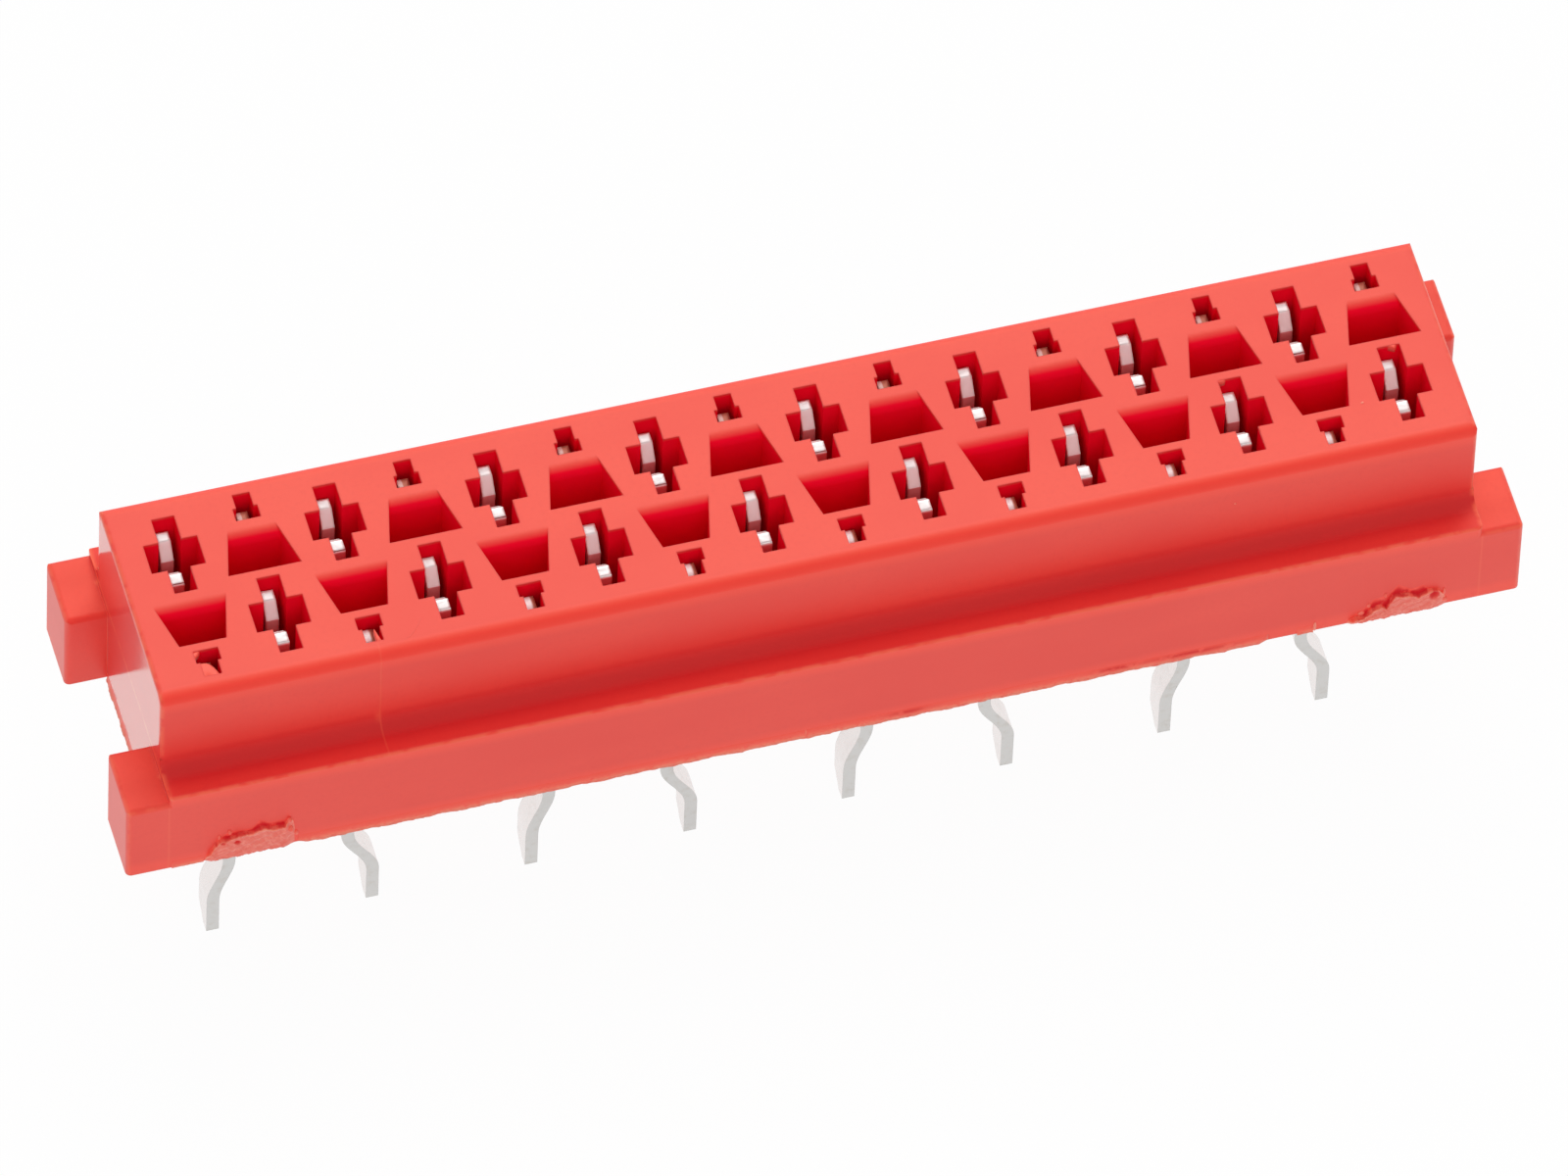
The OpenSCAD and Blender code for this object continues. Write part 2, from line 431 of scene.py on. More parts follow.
@dataclass(frozen=True)
class HousingZones:
    """Zones of the housing that differ in finish, and zones that get painted light and shade. Each is where
    all of its limits hold.
    """

    ends: Zone = (
        Rise(Axis.FAR_ALONG, HEADER.half_length, -0.275, -0.125),
        Rise(Axis.HEIGHT, HEADER.ledge, 0.18, 0.38),
    )
    rail_joints: Zone = (
        Band(Axis.FAR_ALONG, HEADER.half_length, 0.30),
        Rise(Axis.HEIGHT, HEADER.ledge, 0.33, 0.13),
    )
    face_over_rails: Zone = (END_FACE, Rise(Axis.HEIGHT, HEADER.rail_top, 0.0, 0.02))
    face_between_rails: Zone = (END_FACE, Rise(Axis.FAR_ACROSS, HEADER.rail_inner, 0.01, -0.01))
    field: Zone = (
        Rise(Axis.FAR_ACROSS, HEADER.wall, -0.14, -0.24),
        Rise(Axis.FAR_ALONG, HEADER.half_length, -0.075, -0.175),
    )
    # with the field, the openings, which get a redder painted colour for light bounced between their walls
    below_top: Zone = (Rise(Axis.HEIGHT, HEADER.top, 0.0, -0.08),)
    # painted highlight: lighter red over the top of the wall, where light from above falls
    brow: Zone = (
        Rise(Axis.HEIGHT, HEADER.top, -0.45, -0.19),
        Rise(Axis.FAR_ACROSS, HEADER.wall, -0.23, -0.09),
    )
    # painted highlight along the upper edge of the flange's front
    upper_lip: Zone = (
        Rise(Axis.FAR_ACROSS, HEADER.flange, -0.035, -0.005),
        Rise(Axis.HEIGHT, HEADER.ledge, -0.32, -0.07),
    )
    # painted highlight along the lower edge of the flange's front
    lower_lip: Zone = (
        Rise(Axis.FAR_ACROSS, HEADER.flange, -0.035, -0.005),
        Rise(Axis.HEIGHT, 0.0, 0.35, 0.12),
    )
    # painted shade: darker red in the hollow where the wall meets the ledge, which also loses its coat
    hollow: Zone = (
        Band(Axis.HEIGHT, HEADER.ledge + 0.09, 0.64),
        Band(Axis.FAR_ACROSS, HEADER.wall + 0.13, 0.72),
    )
    shoulder: Zone = (
        Rise(Axis.HEIGHT, HEADER.top, -0.21, -0.13),
        Rise(Axis.HEIGHT, HEADER.top, 0.0, -0.05),
        Rise(Axis.FAR_ACROSS, HEADER.wall, -0.19, -0.13),
    )
    shelf: Zone = (
        Rise(Axis.HEIGHT, HEADER.ledge, -0.05, 0.0),
        Rise(Axis.HEIGHT, HEADER.ledge, 0.38, 0.08),
        Rise(Axis.FAR_ACROSS, HEADER.wall, -0.09, 0.01),
    )
    rail_tops: Zone = (
        Rise(Axis.FAR_ALONG, HEADER.half_length, 0.005, 0.075),
        Band(Axis.HEIGHT, HEADER.rail_top, 0.12),
    )
    seam: Zone = (
        Band(Axis.ALONG, SEAM_PLACE, 0.05),
        FRONT,
        Rise(Axis.HEIGHT, HEADER.ledge, -0.06, 0.0),
    )
    rail_lines: Zone = (
        Band(Axis.FAR_ALONG, HEADER.half_length, 0.05),
        FRONT,
        Rise(Axis.HEIGHT, HEADER.rail_top, 0.0, -0.12),
    )
    scuff: Zone = (
        Band(Axis.ALONG, SEAM_PLACE - 0.03, 0.18),
        FRONT,
        Band(Axis.HEIGHT, HEADER.ledge + 0.25, 0.36),
    )
    # widths of the bands along the scuffed edges, which also get a painted highlight
    edge_band: float = 0.18
    front_edge_band: float = 0.108
    block: Rise = Rise(Axis.FAR_ALONG, HEADER.half_length, 0.05, 0.0)
    rails: Rise = Rise(Axis.FAR_ALONG, HEADER.half_length, 0.0, 0.1)

    def rubbed_and_highlit_edges(self) -> tuple[Zone, ...]:
        """Lists the outer edges that handling has scuffed, which also get a painted highlight. Each is where
        two faces of the housing come close.

        Returns:
            A zone for each edge.
        """
        top = Band(Axis.HEIGHT, HEADER.top, self.edge_band)
        wall = Band(Axis.FAR_ACROSS, HEADER.wall, self.edge_band)
        end = Band(Axis.FAR_ALONG, HEADER.half_length, self.edge_band)
        ledge = Band(Axis.HEIGHT, HEADER.ledge, self.edge_band)
        flange = Band(Axis.FAR_ACROSS, HEADER.flange, self.front_edge_band)
        rail_top = Band(Axis.HEIGHT, HEADER.rail_top, self.edge_band)
        rail_end = Band(Axis.FAR_ALONG, HEADER.rail_end, self.edge_band)
        return (
            (end, wall),
            (end, top),
            (ledge, flange, self.block),
            (ledge, end, self.block),
            (rail_top, flange, self.rails),
            (rail_top, rail_end, self.rails),
            (rail_end, flange, self.rails),
        )


@dataclass(frozen=True)
class HousingPlastic:
    """Semi-gloss red thermoplastic: paler skin outside, scuffed and seamed edges. Painted light: a redder
    colour in the openings for light bounced between their red walls, dark red shade in the hollow at the
    foot of the wall, and lighter red highlights on the upper wall, along the flange's upper and lower edges
    and on the outer edges.

    Limits are the noise values between which a pattern fades in. A share is how much of a finish shows. A
    relief is the height of a bump and the share of it that shows.
    """

    zones: HousingZones = HousingZones()
    skin: Colour = (0.92, 0.026, 0.028)
    flow: Colour = (0.89, 0.020, 0.026)
    # lighter red painted as a highlight on the upper wall and along the flange's edges; also the plain
    # colour of the torn pieces
    painted_light_red: Colour = (1.00, 0.034, 0.028)
    # darker red painted as shade in the hollow at the foot of the wall
    hollow_shade: Colour = (0.70, 0.003, 0.020)
    # redder colour painted in the openings for the light bounced between their red walls
    inside: Colour = (0.97, 0.004, 0.028)
    # lighter orange red of scuffed edges, also painted as a highlight along the outer edges
    worn_and_highlight: Colour = (1.00, 0.125, 0.070)
    sheen: Colour = (1.00, 1.00, 0.54)
    roughness: float = 0.62
    end_roughness: float = 0.03
    swing: float = 0.08
    edge_round: float = 0.045
    end_round: float = 0.10
    joint_share: float = 0.8
    flow_marks: Pattern = Pattern(0.55, 3.0, (0.6, 1.0, 1.4))
    fine_grain: Pattern = Pattern(28.0)
    chipping: Pattern = Pattern(5.0, 4.0)
    speckle: Pattern = Pattern(11.0, 3.0)
    flow_limits: Pair = (0.35, 0.65)
    chip_limits: Pair = (0.35, 0.55)
    speck_limits: Pair = (0.45, 0.75)
    speck_share: float = 0.8
    rim_share: float = 0.8
    line_share: float = 0.3
    scuff_share: float = 0.35
    ledge_matt_share: float = 0.35
    rail_bare_share: float = 0.5
    end_bare_share: float = 0.4
    grain_relief: Pair = (0.003, 0.55)
    seam_relief: Pair = (0.006, 0.4)

    def gloss(self) -> dict[str, Any]:
        """Constants of the plastic's clear, faintly yellow gloss."""
        return {
            "IOR": 1.60,
            "Specular IOR Level": 0.68,
            "Specular Tint": rgba(self.sheen),
            "Coat IOR": 1.30,
            "Coat Roughness": 0.42,
        }

    def material(self) -> bpy.types.Material:
        """Builds the material.

        Returns:
            The housing's material.
        """
        material, shader = new_material(Slot.HOUSING.value)
        place = shader.millimetres()
        spot = Spot(shader, place)
        zones = self.zones
        flow = shader.noise(place, self.flow_marks)
        grain = shader.noise(place, self.fine_grain)
        chips = shader.noise(place, self.chipping).step(*self.chip_limits)
        specks = shader.noise(place, self.speckle).step(*self.speck_limits)
        reach = self.edge_round * (1.0 - spot.mask(zones.rail_joints) * self.joint_share)
        reach = reach + spot.mask(zones.ends) * (self.end_round - self.edge_round)
        rounded, edge = shader.soft_edges(reach)
        field = spot.mask(zones.field)
        inside = spot.mask(zones.below_top) * field
        hollow = spot.mask(zones.hollow)
        end_faces = spot.mask(zones.face_over_rails).larger(spot.mask(zones.face_between_rails))
        seam = spot.mask(zones.seam)
        # scuffs on the outer edges with a painted highlight on them, plus the seam, the joint lines and a
        # scuff
        rubbed_and_painted_light = (edge * (1.0 - field) + spot.mask(*zones.rubbed_and_highlit_edges())) * chips * self.rim_share
        rubbed_and_painted_light = rubbed_and_painted_light + (seam + spot.mask(zones.rail_lines)) * self.line_share
        rubbed_and_painted_light = rubbed_and_painted_light + spot.mask(zones.scuff) * self.scuff_share
        colour = shader.blend(flow.step(*self.flow_limits), self.skin, self.flow)
        colour = shader.blend(specks * self.speck_share, colour, self.flow)
        # painted highlight on the upper wall and along the flange's upper and lower edges
        colour = shader.blend(spot.mask(zones.brow, zones.upper_lip, zones.lower_lip), colour, self.painted_light_red)
        # painted shade in the hollow at the foot of the wall
        colour = shader.blend(hollow, colour, self.hollow_shade)
        # scuffed edges mixed with painted edge highlights
        colour = shader.blend(rubbed_and_painted_light, colour, self.worn_and_highlight)
        # painted light: redder colour in the openings for light bounced between their red walls, matt there
        colour = shader.blend(inside, colour, self.inside)
        rough = self.roughness + (flow - NOISE_MIDDLE) * self.swing + (grain - NOISE_MIDDLE) * self.swing
        rough = rough + end_faces * (self.end_roughness - rough)
        normal = shader.bump(grain, *self.grain_relief, rounded)
        normal = shader.bump(seam, *self.seam_relief, normal)
        coat = 1.0 - hollow - spot.mask(zones.rail_tops) * self.rail_bare_share
        coat = coat - end_faces * self.end_bare_share
        varying = {"Base Color": colour, "Roughness": rough, "Normal": normal, "Coat Weight": coat}
        matt = inside + spot.mask(zones.shelf, zones.shoulder) * self.ledge_matt_share
        close_material(shader, self.gloss(), varying, matt)
        return material


@dataclass(frozen=True)
class TornPlastic:
    """The same plastic where it was torn: rough pale breaks, narrow lips painted lighter as a highlight, and
    creases painted dark red as shade.
    """

    moulded: HousingPlastic
    face: Colour = (0.92, 0.125, 0.105)
    chalk: Colour = (1.00, 0.260, 0.210)
    # lighter orange painted as a highlight along lips and rims, and on burrs and grains
    lip: Colour = (1.00, 0.230, 0.150)
    # dark red painted as shade in creases and pits; also darkens patches on the flash and the scratch
    crease: Colour = (0.72, 0.006, 0.018)
    crumbling: Pattern = Pattern(14.0, 4.0)
    shading: Pattern = Pattern(7.0, 3.0)
    chalk_limits: Pair = (0.45, 0.75)
    lip_limits: Pair = (0.2, 0.6)
    shade_limits: Pair = (0.30, 0.55)
    relief: Pair = (0.015, 0.4)
    swing: float = 0.3
    matt_share: float = 0.75

    def material(self) -> bpy.types.Material:
        """Builds the material from the marks face, lip and crease of each mesh.

        Returns:
            The material of the torn pieces.
        """
        material, shader = new_material("torn_plastic")
        place = shader.millimetres()
        crumble = shader.noise(place, self.crumbling)
        broken = shader.blend(crumble.step(*self.chalk_limits), self.face, self.chalk)
        # where a torn piece shows no broken face, it takes the lighter red of the painted highlights
        colour = shader.blend(shader.mark("face"), self.moulded.painted_light_red, broken)
        # painted highlight along the lips, then painted shade in the creases
        colour = shader.blend(shader.mark("lip") * crumble.step(*self.lip_limits), colour, self.lip)
        shade = shader.mark("crease") * shader.noise(place, self.shading).step(*self.shade_limits)
        colour = shader.blend(shade, colour, self.crease)
        flat = shader.node("ShaderNodeNewGeometry", output="Normal")
        normal = shader.bump(crumble, *self.relief, flat)
        rough = self.moulded.roughness + (crumble - NOISE_MIDDLE) * self.swing
        constants = {**self.moulded.gloss(), "Coat Weight": 1.0}
        varying = {"Base Color": colour, "Roughness": rough, "Normal": normal}
        close_material(shader, constants, varying, shade * self.matt_share)
        return material


@dataclass(frozen=True)
class TinPlate:
    """Satin tin plating: smooth on rolled faces, greyer on sheared edges, pale on forks, wearing off the
    posts.
    Painted light: a pink reflection of the red walls on the forks' front and rear faces, and the rear posts
    darkened as shade.

    Limits are the values between which a mask rises or falls, and a relief is the height of a bump and the
    share of it that shows.
    """

    rolled: Colour = (0.86, 0.81, 0.795)
    sheared: Colour = (0.65, 0.64, 0.625)
    stained: Colour = (0.60, 0.57, 0.53)
    matt: Colour = (1.00, 0.98, 0.965)
    # pink painted reflection of the red walls, on the forks' faces that face them
    red_wall_reflection: Colour = (0.95, 0.42, 0.42)
    # brown copper where the tin wears off the posts; also darkens the rear posts as painted shade
    copper_and_shade: Colour = (0.50, 0.19, 0.125)
    roughness: float = 0.28
    upper_roughness: float = 0.25
    cut_roughness: float = 0.08
    swing: float = 0.16
    tail_round: float = 0.02
    upper_round: float = 0.06
    matt_share: float = 0.75
    bare_gloss: float = 0.4
    tip_gloss: float = 0.55
    mottling: Pattern = Pattern(9.0, 3.0)
    streaks: Pattern = Pattern(22.0, 2.0, (1.0, 1.0, 0.12))
    stain_limits: Pair = (0.50, 0.75)
    rolled_stain: float = 0.12
    cut_stain: float = 0.5
    cut_limits: Pair = (0.8, 0.4)
    facing_limits: Pair = (0.8, 0.95)
    upper_limits: Pair = (1.8, 2.4)
    post_limits: Pair = (2.9, 3.0)
    post_fade: float = 0.05
    odd_limits: Pair = (0.49, 0.51)
    rub_limits: Pair = (-0.02, 0.02)
    # shift and floor of the brown mask on the rear posts: painted shade
    rear_shade_shift: float = 0.06
    rear_post_shade: float = 0.6
    streak_relief: Pair = (0.004, 0.2)
    mottle_relief: Pair = (0.015, 0.4)
    tip_slope: Pair = (0.27, 1.0)

    def posts(self, along: Wire, across: Wire, height: Wire) -> tuple[Wire, Wire]:
        """Finds the holding posts. They stand in front on contacts of odd number and behind on the others.

        A quarter more than half of an odd number leaves 0.75 over a whole number, and of an even one 0.25.

        Args:
            along: place along the rows.
            across: place across the rows.
            height: height over the board.

        Returns:
            A mask of the posts, and a mask of the part of each strip on which the tin is wearing off,
            widened and raised on the rear posts as painted shade.
        """
        number = along / HEADER.pitch + HEADER.middle()
        odd = (number * 0.5 + 0.25).fraction().step(*self.odd_limits)
        beside = ((number + 0.5).fraction() - 0.5) * HEADER.pitch
        front = across.step(self.post_fade - HEADER.post, -HEADER.post)
        rear = across.step(HEADER.post - self.post_fade, HEADER.post)
        post = (odd * front + (1.0 - odd) * rear) * height.step(*self.post_limits)
        # the rear posts get more of the brown, as painted shade
        rubbed_and_painted_light = (beside + rear * self.rear_shade_shift).step(*self.rub_limits)
        return post, rubbed_and_painted_light.larger(rear * self.rear_post_shade)

    def material(self) -> bpy.types.Material:
        """Builds the material.

        Returns:
            The contacts' material.
        """
        material, shader = new_material(Slot.CONTACT.value)
        place = shader.millimetres()
        along, across, height = shader.axes(place)
        facing = shader.axes(shader.node("ShaderNodeTexCoord", output="Normal"))
        cut_face = abs(facing[0]).step(*self.cut_limits)
        mottle = shader.noise(place, self.mottling)
        streak = shader.noise(place, self.streaks)
        upper = height.step(*self.upper_limits)
        post, rubbed_and_painted_light = self.posts(along, across, height)
        copper_and_shade = post * rubbed_and_painted_light
        tip = upper * facing[2].step(*self.facing_limits) * (1.0 - post)
        rounded, _ = shader.soft_edges(self.tail_round + upper * (self.upper_round - self.tail_round))
        stain = mottle.step(*self.stain_limits) * (self.rolled_stain + cut_face * self.cut_stain)
        colour = shader.blend(cut_face, self.rolled, self.sheared)
        colour = shader.blend(stain, colour, self.stained)
        colour = shader.blend(upper, colour, self.matt)
        # painted reflection: pink on fork faces that face the red front and rear walls
        colour = shader.blend(upper * abs(facing[1]).step(*self.facing_limits), colour, self.red_wall_reflection)
        # brown copper on part of each post, and painted shade on the rear posts
        colour = shader.blend(copper_and_shade, colour, self.copper_and_shade)
        rough = self.roughness + (upper - tip) * self.upper_roughness + cut_face * self.cut_roughness
        rough = rough + (mottle - NOISE_MIDDLE) * self.swing
        normal = shader.bump(streak * cut_face, *self.streak_relief, rounded)
        normal = shader.bump(mottle * cut_face, *self.mottle_relief, normal)
        normal = shader.bump(across * tip, *self.tip_slope, normal)
        matt = upper * (1.0 - copper_and_shade * self.bare_gloss) * (1.0 - tip * self.tip_gloss)
        metal = 1.0 - matt * self.matt_share
        varying = {"Base Color": colour, "Roughness": rough, "Metallic": metal, "Normal": normal}
        close_material(shader, {}, varying)
        return material


def ripple(place: np.ndarray, length: float, seed: int, octaves: int = 4) -> np.ndarray:
    """Ragged curve between -1 and 1: a sum of sines, each half as long and 0.7 as strong as the one before.

    Args:
        place: places at which the curve is wanted.
        length: length of the longest wave.
        seed: number that picks the phases of the waves.
        octaves: number of waves.

    Returns:
        The curve at each place.
    """
    fade = 0.7
    order = np.arange(octaves)
    phases = np.random.default_rng(seed).uniform(0.0, 2 * np.pi, octaves)
    strengths = fade**order
    waves = np.sin(2 * np.pi * place[..., None] * 2.0**order / length + phases)
    return waves @ strengths / strengths.sum()


def bell(offset: np.ndarray, width: float) -> np.ndarray:
    """Smooth hump that is 1 at offset 0 and falls off over the width."""
    return np.exp(-((offset / width) ** 2))


def ease(place: np.ndarray, low: float, high: float) -> np.ndarray:
    """Eased step from 0 at low to 1 at high, also with low above high."""
    share = np.clip((place - low) / (high - low), 0.0, 1.0)
    return share * share * (3.0 - 2.0 * share)


@dataclass
class Skin:
    """Closed surface through a row of rings: sides join each ring to the next, and a face closes an end."""

    name: str
    rings: np.ndarray
    marks: Marks

    def faces(self) -> list[list[int]]:
        """Lists the faces, turned outwards.

        The surface is turned outwards when the volume that it holds is positive. The volume is the sum over
        all triangles of the box product of their corners.

        Returns:
            The corners of each face.
        """
        count, points = self.rings.shape[:2]
        index = np.arange(count * points).reshape(count, points)
        after = np.roll(index, -1, axis=1)
        sides = np.stack((index[:-1], after[:-1], after[1:], index[1:]), axis=-1).reshape(-1, 4)
        ends = (index[0, ::-1], index[-1])
        corners = self.rings.reshape(-1, 3) - self.rings.mean(axis=(0, 1))
        fans = [np.stack((np.full(points - 2, end[0]), end[1:-1], end[2:]), axis=-1) for end in ends]
        triangles = corners[np.concatenate((sides[:, :3], sides[:, (0, 2, 3)], *fans))]
        volume = np.einsum("ij,ij->", triangles[:, 0], np.cross(triangles[:, 1], triangles[:, 2]))
        order = 1 if volume > 0 else -1
        return [face[::order].tolist() for face in (*sides, *ends)]

    def build(self, material: bpy.types.Material) -> bpy.types.Object:
        """Adds the surface to the scene as a piece of the housing.

        Args:
            material: finish of the whole surface.

        Returns:
            The new object.
        """
        mesh = bpy.data.meshes.new(self.name)
        mesh.from_pydata((self.rings.reshape(-1, 3) * MM).tolist(), [], self.faces())
        for mark, values in self.marks.items():
            layer = mesh.attributes.new(mark, "FLOAT", "POINT")
            spread = np.broadcast_to(values, self.rings.shape[:2])
            layer.data.foreach_set("value", spread.astype(np.float32).ravel())
        mesh.materials.append(material)
        mesh.shade_smooth()
        piece = bpy.data.objects.new(self.name, mesh)
        bpy.context.scene.collection.objects.link(piece)
        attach(piece, BODY)
        LOG.info("made %s", self.name)
        return piece


@dataclass(frozen=True)
class GateStub:
    """Broken gate on the flange's front: a torn pad with a raised lip on top, painted lighter as a
    highlight, and a crease above the lip, a film painted dark as its shade.

    The lip and the crease are lines through places along the rows and heights. A pit is its place, height
    and two radii. Limits tell where a step starts and where it is full.
    """

    name: str
    lip: tuple[Pair, ...]
    crease: tuple[Pair, ...]
    seed: int
    pits: tuple[tuple[float, float, float, float], ...]
    proud: float = 0.045
    crest: float = 0.022
    crest_drop: float = 0.02
    crest_width: float = 0.03
    root: float = 0.03
    columns: int = 180
    crease_rows: int = 15
    face_rows: int = 30
    ragged: float = 0.02
    ragged_wave: float = 0.5
    least_crease: float = 0.02
    tapers: Pair = (0.10, 0.22)
    roughness: float = 0.012
    slants: Pair = (0.6, -0.4)
    rough_waves: Pair = (0.35, 0.3)
    pit_depth: float = 0.9
    film: float = 0.004
    sink: float = 0.002
    film_limits: Pair = (1.0, 0.8)
    step_limits: Pair = (0.012, -0.004)
    face_limits: Pair = (0.0, -0.03)
    shade_limits: Pair = (1.0, 0.3)
    lip_limits: Pair = (-0.02, 0.01)
    depth_limits: Pair = (0.03, 0.10)

    def pitted(self, along: np.ndarray, height: np.ndarray) -> np.ndarray:
        """Depth of the pits as a share: 1 less the squared distance from a pit's middle, in its radii.

        Args:
            along: places along the rows.
            height: heights over the board.

        Returns:
            The share at each place, 0 outside the pits.
        """
        return sum(
            np.clip(1.0 - ((along - x) / wide) ** 2 - ((height - z) / tall) ** 2, 0.0, 1.0)
            for x, z, wide, tall in self.pits
        )

    def skin(self) -> Skin:
        """Shapes the stub as a height over the flange's front face.

        Each ring runs down the front at one place along X, from above the crease to the lower edge, and back
        up inside the flange. The height is a fine film in the crease, painted dark as its shade, steps up at
        the lip, has a crest along it, painted lighter as a highlight, and a rough face below. The pits are
        round hollows in the face, painted dark as their shade.

        Returns:
            The surface.
        """
        places, heights = np.array(self.lip).T
        along = np.linspace(places[0], places[-1], self.columns)[:, None]
        lip = np.interp(along, places, heights) + self.ragged * ripple(along, self.ragged_wave, self.seed)
        crease = np.interp(along, *np.array(self.crease).T, left=0.0, right=0.0) - lip
        crease = np.maximum(crease, self.least_crease)
        above = np.linspace(1.0, 0.0, self.crease_rows, endpoint=False) * crease
        below = np.linspace(0.0, -1.0, self.face_rows) * lip
        offset = np.concatenate((above, below), axis=1)
        height = lip + offset
        taper = ease(along, places[0], places[0] + self.tapers[0])
        taper = taper * ease(along, places[-1], places[-1] - self.tapers[1])
        rough = ripple(along + self.slants[0] * height, self.rough_waves[0], self.seed + 1)
        rough = rough + ripple(height + self.slants[1] * along, self.rough_waves[1], self.seed + 2)
        crest = bell(offset + self.crest_drop, self.crest_width)
        pit = self.pitted(along, height)
        pad = (self.proud + self.roughness * rough + self.crest * crest) * (1.0 - self.pit_depth * pit)
        share = offset / crease
        film = self.film * ease(share, *self.film_limits) - self.sink
        out = (film + pad * ease(offset, *self.step_limits)) * taper - self.film * (1.0 - taper)
        back = np.full((self.columns, 2), -self.root)
        out = np.concatenate((out, back), axis=1)
        height = np.concatenate((height, height[:, -1:], height[:, :1]), axis=1)
        rings = np.stack((np.broadcast_to(along, out.shape), -HEADER.flange - out, height), axis=-1)
        # painted shade over the crease film above the lip and in the pits; painted highlight along the crest
        shade = ease(share, *self.shade_limits) * ease(offset, *self.lip_limits)
        shade = shade * ease(crease, *self.depth_limits) * taper
        marks = {
            "face": ease(offset, *self.face_limits) * (1.0 - pit),
            "lip": crest * (1.0 - pit),
            "crease": np.maximum(shade, np.sqrt(pit)),
        }
        hidden = np.zeros((self.columns, 2))
        marks = {mark: np.concatenate((values, hidden), axis=1) for mark, values in marks.items()}
        return Skin(self.name, rings, marks)


@dataclass(frozen=True)
class EdgeFlash:
    """Ragged fine lip of flash along a lower edge of the housing.

    The pale shares, of the lighter lip colour that is painted as a highlight, and the patch shares, of the
    darker crease colour, are those of the section's eight corners in order. A dark patch is a place along
    the rows and a width.
    """

    name: str
    start: Pair
    end: Pair
    outward: Pair
    seed: int
    reach: float = 0.018
    hang: float = 0.045
    wave: float = 1.1
    dark_patches: tuple[Pair, ...] = ()
    rings: int = 400
    root: float = 0.03
    sink: float = 0.004
    rises: tuple[float, float, float, float] = (0.17, 0.14, 0.08, 0.03)
    films: Pair = (0.002, 0.003)
    bulge: float = 0.4
    rim_back: float = 0.012
    rim_drop: float = 0.005
    hang_swing: float = 0.6
    reach_swing: float = 0.5
    reach_wave: float = 0.7
    end_taper: float = 0.01
    pale: tuple[float, ...] = (0.0, 0.0, 0.05, 0.12, 0.5, 1.0, 1.0, 1.0)
    patch_shares: tuple[float, ...] = (0.0, 0.0, 0.2, 0.8, 0.3, 0.0, 0.0, 0.0)

    def skin(self) -> Skin:
        """Sweeps the section of the lip along the edge, with a ragged lower rim.

        The section is a fine film on the wall that thickens downwards into a wedge below the edge.

        Returns:
            The surface.
        """
        share = np.linspace(0.0, 1.0, self.rings)
        start, end = np.array(self.start), np.array(self.end)
        path = start + (end - start) * share[:, None]
        travel = share * np.linalg.norm(end - start)
        taper = ease(share, 0.0, self.end_taper) * ease(share, 1.0, 1.0 - self.end_taper)
        ragged = ripple(travel, self.wave, self.seed, octaves=6)
        hang = self.hang * (1.0 + self.hang_swing * ragged) * taper
        swell = ripple(travel, self.reach_wave, self.seed + 1)
        reach = self.reach * (1.0 + self.reach_swing * swell) * taper
        one = np.ones_like(share)
        high, upper, lower, low = self.rises
        section = np.array((
            (-self.root * one, high * one),
            (-self.sink * one, high * one),
            (self.films[0] * taper, upper * one),
            (self.films[1] * taper, lower * one),
            (self.bulge * reach, low * one),
            (reach, -hang),
            (reach - self.rim_back, -hang - self.rim_drop * taper),
            (-self.root * one, -self.sink * one),
        ))
        out, height = section.transpose(1, 2, 0)[..., None]
        rings = np.concatenate((path[:, None, :] + out * np.array(self.outward), height), axis=-1)
        # darker patches of the crease colour along the flash
        dark_patch = sum((bell(path[:, 0] - x, wide) for x, wide in self.dark_patches), 0.0 * one)
        marks = {
            "face": 0.0,
            "lip": np.array(self.pale),
            "crease": dark_patch[:, None] * np.array(self.patch_shares),
        }
        return Skin(self.name, rings, marks)


@dataclass(frozen=True)
class Burr:
    """Sliver of plastic that the mould left in the mouth of an opening, rooted in the opening's wall."""

    name: str
    contact: int
    outline: tuple[Pair, ...]
    sink: float = 0.015
    depth: float = 0.12
    cuts: int = 2
    cut_share: float = 0.25
    levels: int = 7
    draw_in: float = 0.45
    crown: float = 0.04
    pale: float = 0.25
    lip: float = 0.3
    lip_levels: int = 5

    def skin(self) -> Skin:
        """Stacks copies of the outline, with its corners cut round, and draws the upper ones in to the root.

        The root is the middle of the outline's first edge, which lies in the wall.

        Returns:
            The surface.
        """
        plan = np.array(self.outline)
        root = plan[:2].mean(axis=0)
        for _ in range(self.cuts):
            after = np.roll(plan, -1, axis=0)
            cut = (after - plan) * self.cut_share
            plan = np.stack((plan + cut, after - cut), axis=1).reshape(-1, 2)
        turn = np.linspace(0.0, np.pi / 2, self.levels)
        draw = np.concatenate(([1.0], 1.0 - self.draw_in * (1.0 - np.cos(turn))))
        level = np.concatenate(([-self.depth], -self.sink - self.crown * (1.0 - np.sin(turn))))
        spread = root + (plan - root) * draw[:, None, None]
        spread = spread + np.array((HEADER.contact_x(self.contact), 0.0))
        height = np.broadcast_to(HEADER.top + level[:, None, None], (*spread.shape[:2], 1))
        rings = np.concatenate((spread, height), axis=-1)
        rim = (np.arange(len(level)) < self.lip_levels) * self.lip
        return Skin(self.name, rings, {"face": self.pale, "lip": rim[:, None], "crease": 0.0})


